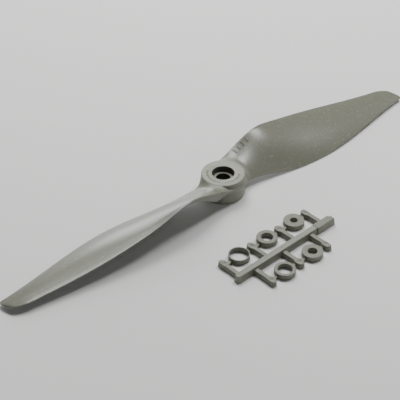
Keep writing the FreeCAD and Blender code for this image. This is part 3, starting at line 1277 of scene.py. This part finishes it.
@dataclass(frozen=True)
class RingTree:
    """Runner, feed stub, arms and gates of the adapter rings' tree.

    The broken corner's outlines are given from the end of the stub, and the lug's from its
    middle: swell as (share of the half width, distance outwards) and tip as plain points.
    """

    runner_y: float = -46.8
    runner_from: float = -36.4
    runner_to: float = 8.6
    runner_base: float = 3.5
    runner_top: float = 2.7
    runner_height: float = 3.3
    stub_from: float = 8.2
    stub_to: float = 18.8
    stub_y: float = -47.0
    stub_base: float = 4.0
    stub_top: float = 3.3
    stub_height: float = 3.5
    stub_inset: float = 0.1
    stub_lean: float = 0.49
    broken_base: tuple[Pair, ...] = (
        (-1.45, -46.7), (-0.9, -46.2), (1.0, -46.5), (1.0, -43.0), (-1.2, -43.0)
    )
    broken_top: tuple[Pair, ...] = (
        (-1.6, -46.8), (-1.0, -46.35), (1.0, -46.7), (1.0, -43.0), (-1.4, -43.0)
    )
    broken_depth: float = 1.0
    broken_rounding: float = 0.08
    arm_height: float = 2.4
    arm_base: float = 2.3
    arm_top: float = 1.95
    arm_pitch: float = 16.2
    arm_shift: float = -0.55
    arm_first: float = 1.5
    arm_rounding: float = 0.8
    lug_back: float = 2.7
    lug_neck: float = 2.1
    lug_widening: float = 0.01
    lug_swell: tuple[Pair, ...] = ((0.84, -1.35), (1.0, -0.7), (1.0, 0.8), (0.88, 1.5))
    lug_tip: tuple[Pair, ...] = ((1.05, 2.25), (0.55, 2.65))
    ring_reach: Pair = (2.0, 12.0)
    dimple: tuple[Pair, ...] = (
        (0, -0.24), (0.5, -0.22), (0.75, -0.1), (0.85, 0.02), (0.9, 0.5), (0, 0.5)
    )
    dimple_segments: int = 28
    lug_half: float = 1.75
    lug_plain: float = 1.3
    lug_scale: float = 0.9
    gate_widths: Triple = (0.9, 1.3, 2.6)
    gate_low: float = 0.4
    gate_high: float = 1.3
    gate_side: float = 8.0
    gate_gap: float = 0.02
    gate_neck: float = 0.45
    gate_into_lug: float = 1.2
    gate_draft: float = 0.8
    gate_rounding: float = 0.12
    rounding: float = 0.22
    nose_steps: int = 10
    crease: float = 35.0

    def runner(self) -> bpy.types.Object:
        """Makes the runner with its rounded closed end.

        Returns:
            The new object.
        """
        outlines = []
        for width in (self.runner_base, self.runner_top):
            half = width / 2
            outline = arc((self.runner_from, self.runner_y), half, 90, 270, self.nose_steps)
            outline += [(self.runner_to, self.runner_y + way * half) for way in (-1, 1)]
            outlines.append(outline)
        return drafted_block("runner", *outlines, 0, self.runner_height, self.rounding)

    def stub(self) -> bpy.types.Object:
        """Makes the thicker feed stub with its sloped, broken end.

        Returns:
            The new object.
        """
        low_x, high_x = self.stub_from + self.stub_inset, self.stub_to - self.stub_lean
        base = self._rect(self.stub_from, self.stub_to, self.stub_y, self.stub_base)
        top = self._rect(low_x, high_x, self.stub_y, self.stub_top)
        stub = drafted_block("stub", base, top, 0, self.stub_height, self.rounding)
        broken = drafted_block(
            "broken_corner",
            [(self.stub_to + x, y) for x, y in self.broken_base],
            [(self.stub_to + x, y) for x, y in self.broken_top],
            self.stub_height - self.broken_depth,
            self.stub_height + self.broken_depth,
            self.broken_rounding,
        )
        combine(stub, [broken], Cut.REMOVE)
        return stub

    @staticmethod
    def middle(node: str) -> float:
        """X of the middle of a CAD node, in millimetres."""
        low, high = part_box(node)
        return (low[0] + high[0]) / 2 / MM

    @staticmethod
    def _rect(low_x: float, high_x: float, middle_y: float, width: float) -> Outline:
        """Rectangle along the runner.

        Args:
            low_x: Its lower end.
            high_x: Its upper end.
            middle_y: Its middle line.
            width: Its width.

        Returns:
            The outline, counterclockwise.
        """
        near, far = middle_y - width / 2, middle_y + width / 2
        return [(low_x, near), (high_x, near), (high_x, far), (low_x, far)]

    def _lug(
        self, halves: Sequence[float], scale: float, arm_half: float, root: float, way: int
    ) -> Outline:
        """Outline of an arm and its lug, from the middle of the lug.

        Args:
            halves: Half widths of the lug on the +X and the -X side.
            scale: Scale of the lug.
            arm_half: Half width of the arm.
            root: Where the arm starts, inside the runner.
            way: 1 on the far row and -1 on the near row.

        Returns:
            The outline, counterclockwise.
        """
        sides = []
        for side, plain in zip((1, -1), halves):
            wide = plain * scale
            swell = [(wide * share, out * way) for share, out in self.lug_swell]
            swell[0] = (max(swell[0][0], arm_half + self.lug_widening), swell[0][1])
            tip = [(u * scale, out * scale * way) for u, out in self.lug_tip]
            points = [(arm_half, root), (arm_half, -self.lug_neck * way), *swell, *tip]
            sides.append([(side * u, v) for u, v in points])
        loop = sides[0] + sides[1][::-1]
        return loop if way > 0 else loop[::-1]

    def arm(self, node: str, x: float, row: Row, rings: Sequence[float]) -> bpy.types.Object:
        """Makes one arm with its lug, where its CAD node is. The lug swells only towards a ring.

        Args:
            node: CAD node of the arm.
            x: Place of the arm along the runner.
            row: Side of the runner.
            rings: X of that row's rings.

        Returns:
            The new object.
        """
        low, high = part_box(node)
        end = (high[1] if row is Row.FAR else low[1]) / MM
        lug_y = end - row.value * self.lug_back
        least, most = self.ring_reach
        halves = [
            self.lug_half if any(least < (r - x) * side < most for r in rings) else self.lug_plain
            for side in (1, -1)
        ]
        outlines = []
        for scale, width in ((1.0, self.arm_base), (self.lug_scale, self.arm_top)):
            loop = self._lug(halves, scale, width / 2, self.runner_y - lug_y, row.value)
            outlines.append([(x + u, lug_y + v) for u, v in loop])
        rounding = self.rounding * self.arm_rounding
        made = drafted_block(node + "_shape", *outlines, 0, self.arm_height, rounding)
        hollow = [(radius, self.arm_height + height) for radius, height in self.dimple]
        combine(made, [lathe("dimple", hollow, self.dimple_segments, (x, lug_y))], Cut.REMOVE)
        return made

    def gates(self, ring: str, row: Row, arms: Sequence[float]) -> list[bpy.types.Object]:
        """Makes the two gates of one ring. Each is necked where it meets the ring.

        Args:
            ring: CAD node of the ring.
            row: Side of the runner.
            arms: X of that row's arms.

        Returns:
            The new objects.
        """
        low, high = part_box(ring)
        x, y = (low[0] + high[0]) / 2 / MM, (low[1] + high[1]) / 2 / MM
        radius = (high[0] - low[0]) / 2 / MM
        made = []
        for way in (-1, 1):
            lug = min(arms, key=lambda a: abs(a - (x + way * self.gate_side)))
            into_lug = abs(lug - x) - self.gate_into_lug
            outs = (radius + self.gate_gap, radius + self.gate_neck, into_lug)
            reach = [(out, width / 2) for out, width in zip(outs, self.gate_widths)]
            loop = [(x + way * out, y + half) for out, half in reach]
            loop += [(x + way * out, y - half) for out, half in reach[::-1]]
            loop = loop if way < 0 else loop[::-1]
            slim = [(u, y + (v - y) * self.gate_draft) for u, v in loop]
            heights = (self.gate_low, self.gate_high)
            made.append(drafted_block("gate", loop, slim, *heights, self.gate_rounding))
        return made

    def build(self, rings: dict[str, Row]) -> bpy.types.Object:
        """Makes the whole tree as one moulding.

        Args:
            rings: CAD node of each ring, and its row.

        Returns:
            The new object.
        """
        tree = self.runner()
        tree.name = tree.data.name = "ring_tree_moulding"
        parts = [self.stub()]
        arms: dict[Row, list[float]] = {Row.FAR: [], Row.NEAR: []}
        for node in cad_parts:
            row = next((r for r in Row if node.startswith(r.name.lower() + "_arm")), None)
            if row is not None:
                beside = [self.middle(ring) for ring, side in rings.items() if side is row]
                place = int(node.rsplit("_", 1)[1]) - self.arm_first
                x = min(beside) + place * self.arm_pitch + self.arm_shift
                arms[row].append(x)
                parts.append(self.arm(node, x, row, beside))
        for ring, row in rings.items():
            parts += self.gates(ring, row, arms[row])
        combine(tree, parts, Cut.JOIN)
        shade(tree, self.crease)
        return tree


@dataclass(frozen=True)
class AdapterRing:
    """One adapter ring, with rounded rims."""

    node: str
    bore: float
    rim: float = 0.22
    rim_share: float = 0.22
    rim_steps: int = 4
    segments: int = 96
    crease: float = 35.0

    def build(self) -> bpy.types.Object:
        """Makes the ring where its CAD node is.

        Returns:
            The new object.
        """
        low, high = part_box(self.node)
        x, y = (low[0] + high[0]) / 2 / MM, (low[1] + high[1]) / 2 / MM
        outer, top, inner = (high[0] - low[0]) / 2 / MM, high[2] / MM, self.bore / 2
        r, steps = min(self.rim, (outer - inner) * self.rim_share), self.rim_steps
        profile = arc((outer - r, r), r, -90, 0, steps)
        profile += arc((outer - r, top - r), r, 0, 90, steps)
        profile += arc((inner + r, top - r), r, 90, 180, steps)
        profile += arc((inner + r, r), r, 180, 270, steps)
        ring = lathe(self.node + "_moulding", profile, self.segments, (x, y))
        shade(ring, self.crease)
        return ring


# ------------------------------------------------------------------ floor, light and camera
@dataclass(frozen=True)
class Lamp:
    """One soft area lamp."""

    name: str
    azimuth: float
    elevation: float
    size: float
    watts: float
    colour: Colour = (1.0, 1.0, 1.0)


@dataclass(frozen=True)
class Studio:
    """Plain pale floor, soft lamps, dim white world and the camera."""

    world: float = 0.02
    floor_colour: Colour = (0.8, 0.8, 0.8)
    floor_size: float = 3.0
    floor_drop: float = 0.00002
    floor_roughness: float = 0.9
    floor_gloss: float = 0.1
    lamps: tuple[Lamp, ...] = (
        Lamp("key", 150.0, 62.0, 0.36, 3.8, (1.0, 0.995, 0.97)),
        Lamp("behind", 150.0, 38.0, 0.36, 1.6),
        Lamp("low_behind", 150.0, 9.0, 0.34, 1.9),
        Lamp("right_top", 120.0, 62.0, 0.32, 0.9),
        Lamp("right_edge", 82.0, 59.0, 0.24, 2.9),
        Lamp("right_low", 36.0, 20.0, 0.36, 0.7),
        Lamp("right_side", 90.0, 20.0, 0.32, 0.35),
        Lamp("left_low", -52.0, 20.0, 0.4, 0.4),
        Lamp("back_low", -165.0, 20.0, 0.36, 0.7),
    )
    lamp_distance: float = 0.8
    aim: Triple = (-0.0123, 0.0016, 0.00085)
    distance: float = 0.5029
    azimuth: float = -43.0
    elevation: float = 37.6
    lens: float = 104.33
    sensor: float = 36.0
    clip: Pair = (0.01, 20.0)

    @staticmethod
    def direction(azimuth: float, elevation: float) -> Vector:
        """Unit direction from the object towards a viewer or lamp.

        Args:
            azimuth: 0 is on the -Y side and 90 on the +X side, in degrees.
            elevation: Degrees above the horizon.

        Returns:
            The direction.
        """
        a, e = math.radians(azimuth), math.radians(elevation)
        return Vector((math.sin(a) * math.cos(e), -math.cos(a) * math.cos(e), math.sin(e)))

    def floor(self) -> None:
        """Makes the plain pale floor."""
        bm = bmesh.new()
        bmesh.ops.create_grid(bm, x_segments=1, y_segments=1, size=self.floor_size)
        ground = finish_mesh("studio_floor", bm)
        ground.location.z = -self.floor_drop
        material = bpy.data.materials.new("studio_floor")
        surface = Painter(material).surface
        surface.inputs["Base Color"].default_value = (*self.floor_colour, 1.0)
        surface.inputs["Roughness"].default_value = self.floor_roughness
        surface.inputs["Specular IOR Level"].default_value = self.floor_gloss
        ground.data.materials.append(material)

    def light(self) -> None:
        """Makes the world and the lamps."""
        world = bpy.data.worlds.new("studio")
        world.use_nodes = True
        background = world.node_tree.nodes["Background"]
        background.inputs["Color"].default_value = (1.0, 1.0, 1.0, 1.0)
        background.inputs["Strength"].default_value = self.world
        bpy.context.scene.world = world
        for lamp in self.lamps:
            data = bpy.data.lights.new(lamp.name, "AREA")
            data.shape = "DISK"
            data.size = lamp.size
            data.energy = lamp.watts
            data.color = lamp.colour
            made = bpy.data.objects.new(lamp.name, data)
            bpy.context.scene.collection.objects.link(made)
            away = self.direction(lamp.azimuth, lamp.elevation)
            made.location = away * self.lamp_distance
            made.rotation_euler = away.to_track_quat("Z", "Y").to_euler()

    def camera(self) -> None:
        """Makes the camera."""
        data = bpy.data.cameras.new("camera")
        data.lens = self.lens
        data.sensor_width = self.sensor
        data.clip_start, data.clip_end = self.clip
        data.dof.use_dof = False
        made = bpy.data.objects.new("camera", data)
        bpy.context.scene.collection.objects.link(made)
        away = self.direction(self.azimuth, self.elevation)
        made.location = Vector(self.aim) + away * self.distance
        made.rotation_euler = away.to_track_quat("Z", "Y").to_euler()
        bpy.context.scene.camera = made

    def build(self) -> None:
        """Makes everything round the object."""
        self.floor()
        self.light()
        self.camera()


RINGS: dict[str, tuple[float, Row]] = {
    "adapter_ring_8mm": (8.0, Row.FAR),
    "adapter_ring_5mm": (5.0, Row.FAR),
    "adapter_ring_3_2mm": (3.2, Row.FAR),
    "adapter_ring_6mm": (6.0, Row.NEAR),
    "adapter_ring_4mm": (4.0, Row.NEAR),
}


def main() -> None:
    """Builds the looks in order."""
    logging.basicConfig(level=logging.INFO, format="%(name)s %(message)s")
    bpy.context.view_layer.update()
    finishes = Finishes(Effects())

    propeller = PropellerMoulding()
    moulding = propeller.build()
    dress(moulding, finishes.propeller, "propeller_nylon", "propeller", *HUB_NODES)
    marks, strip = Marks(), Strip(hub=propeller.hub)
    for piece in (marks.on_hub(propeller.hub), marks.on_blade(moulding, strip)):
        dress(piece, finishes.propeller, "propeller_nylon", "propeller")

    tree = RingTree().build({node: row for node, (_, row) in RINGS.items()})
    stands_for = [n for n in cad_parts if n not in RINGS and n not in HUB_NODES]
    dress(tree, finishes.rings, "ring_nylon", "ring_tree", *stands_for)
    for node, (bore, _) in RINGS.items():
        body = node.replace("adapter_ring", "ring")
        dress(AdapterRing(node, bore).build(), finishes.rings, "ring_nylon", body, node)

    Studio().build()


if __name__ == "__main__":
    main()
